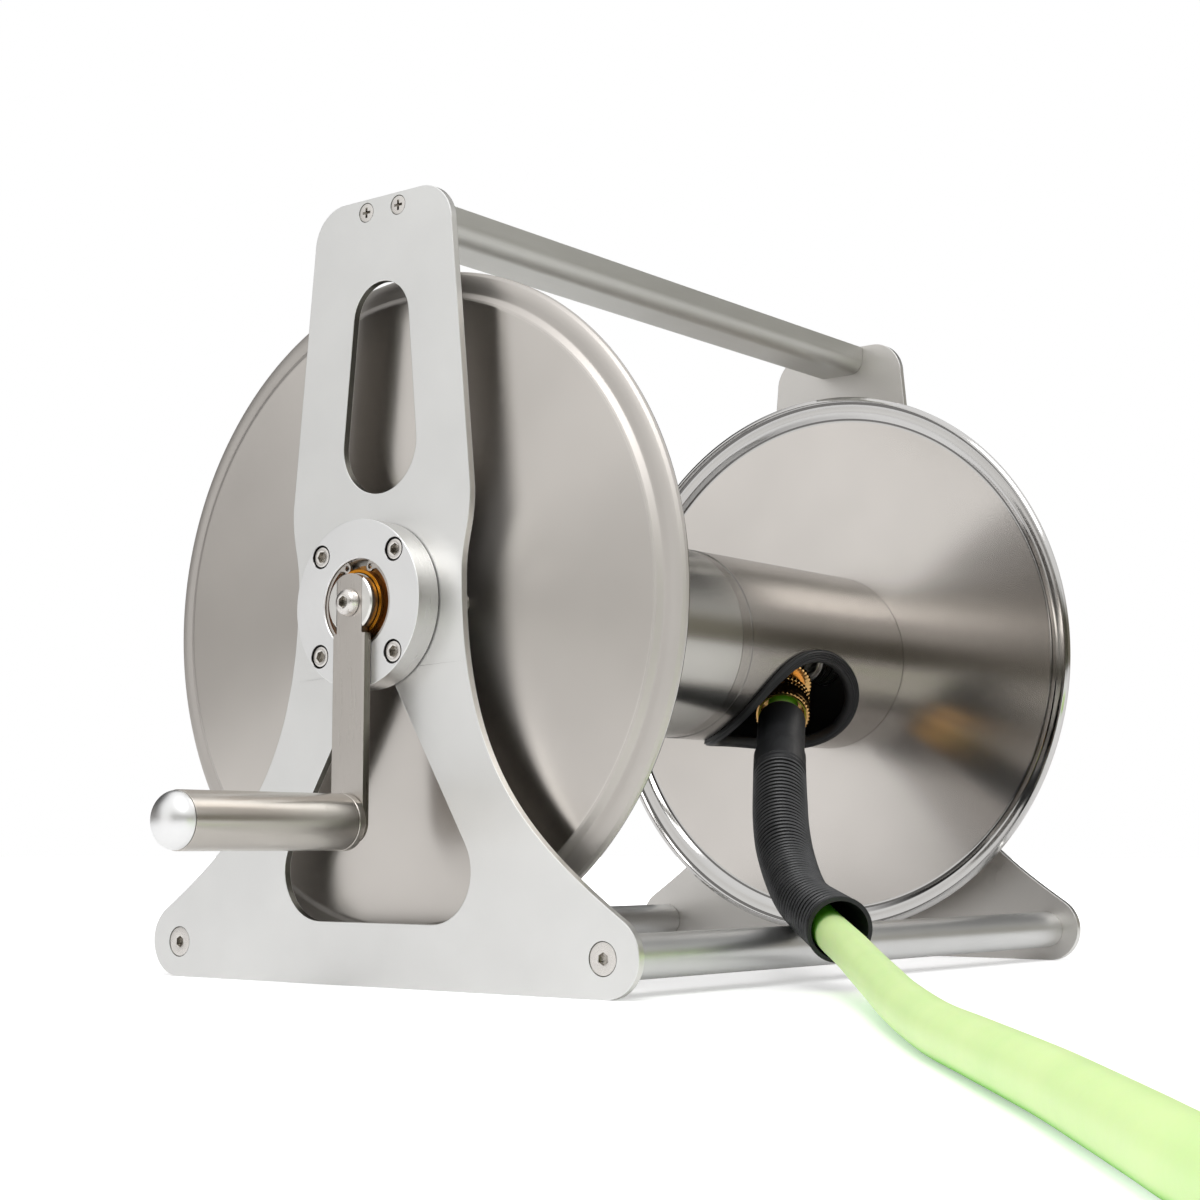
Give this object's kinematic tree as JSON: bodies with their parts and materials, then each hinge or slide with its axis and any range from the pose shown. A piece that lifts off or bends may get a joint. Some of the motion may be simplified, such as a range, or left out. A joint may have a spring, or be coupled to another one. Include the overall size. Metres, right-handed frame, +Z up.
{
  "type": "hose reel",
  "caption": "Free-standing garden hose reel: cut-out side plates, base rods and a carry handle hold a crank-turned drum whose hose leaves through a guarded opening in the core.",
  "frame": {"origin": "bottom centre of the reel with its crank and inlet, without the hose, on the ground", "axes": "+X along the drum's axis from the crank side to the water inlet side, -Y the front, where the hose leaves, +Z up"},
  "size_m": [0.8971, 1.0659, 0.378],
  "materials": {
    "plate": "satin, fine grain",
    "housing": "pale, finely turned and anodised",
    "brushed": "brushed stainless",
    "polished": "polished stainless",
    "bronze": "machined bronze",
    "brass": "machined brass",
    "rubber": "black, matt",
    "hose": "pale green, semi-gloss"
  },
  "bodies": {
    "frame": {"side_plate_crank": "plate", "side_plate_inlet": "plate", "carry_handle": "plate", "base_rod_front": "polished", "base_rod_rear": "polished", "foot_screw_crank_front": "polished", "foot_screw_crank_rear": "polished", "handle_screw_crank_front": "polished", "handle_screw_crank_rear": "polished", "bearing_housing_crank": "housing", "housing_screw_crank_1": "polished", "housing_screw_crank_2": "polished", "housing_screw_crank_3": "polished", "housing_screw_crank_4": "polished", "bush_crank": "bronze", "circlip_crank": "polished", "foot_screw_inlet_front": "polished", "foot_screw_inlet_rear": "polished", "handle_screw_inlet_front": "polished", "handle_screw_inlet_rear": "polished", "bearing_housing_inlet": "housing", "housing_screw_inlet_1": "polished", "housing_screw_inlet_2": "polished", "housing_screw_inlet_3": "polished", "housing_screw_inlet_4": "polished", "bush_inlet": "bronze", "circlip_inlet": "polished", "bend_sleeve": "rubber", "hose_lead": "hose", "hose_coil": "hose", "hose_end": "brass"},
    "drum": {"drum_core": "brushed", "opening_trim": "rubber", "crank_shaft": "polished", "inlet_shaft": "polished", "flange_crank": "brushed", "hub_plate_crank": "brushed", "flange_screw_crank_1": "polished", "flange_screw_crank_2": "polished", "flange_screw_crank_3": "polished", "flange_inlet": "brushed", "hub_plate_inlet": "brushed", "flange_screw_inlet_1": "polished", "flange_screw_inlet_2": "polished", "flange_screw_inlet_3": "polished", "crank_arm": "brushed", "arm_screw": "polished", "grip_spindle": "polished", "water_elbow": "brass", "tail_piece": "brass", "coupling_nut": "brass"},
    "grip": {"grip_collar": "polished", "grip_tube": "brushed", "grip_bush": "rubber", "grip_cap": "polished"},
    "inlet": {"inlet_swivel": "brass", "inlet_seal": "rubber"},
    "inlet_nut": {"inlet_nut": "brass"}
  },
  "joints": [
    {"name": "drum_spin", "type": "hinge", "parent": "frame", "child": "drum", "pos_m": [0.0411, 0, 0.178], "axis": [1, 0, 0], "continuous": true, "deforming": ["bend_sleeve", "hose_lead"]},
    {"name": "grip_spin", "type": "hinge", "parent": "drum", "child": "grip", "pos_m": [-0.2389, 0, 0.076], "axis": [1, 0, 0], "continuous": true},
    {"name": "inlet_swivel", "type": "hinge", "parent": "frame", "child": "inlet", "pos_m": [0.2801, 0, 0.178], "axis": [1, 0, 0], "continuous": true},
    {"name": "inlet_nut_spin", "type": "hinge", "parent": "inlet", "child": "inlet_nut", "pos_m": [0.2801, 0, 0.128], "axis": [0, 0, 1], "continuous": true}
  ]
}
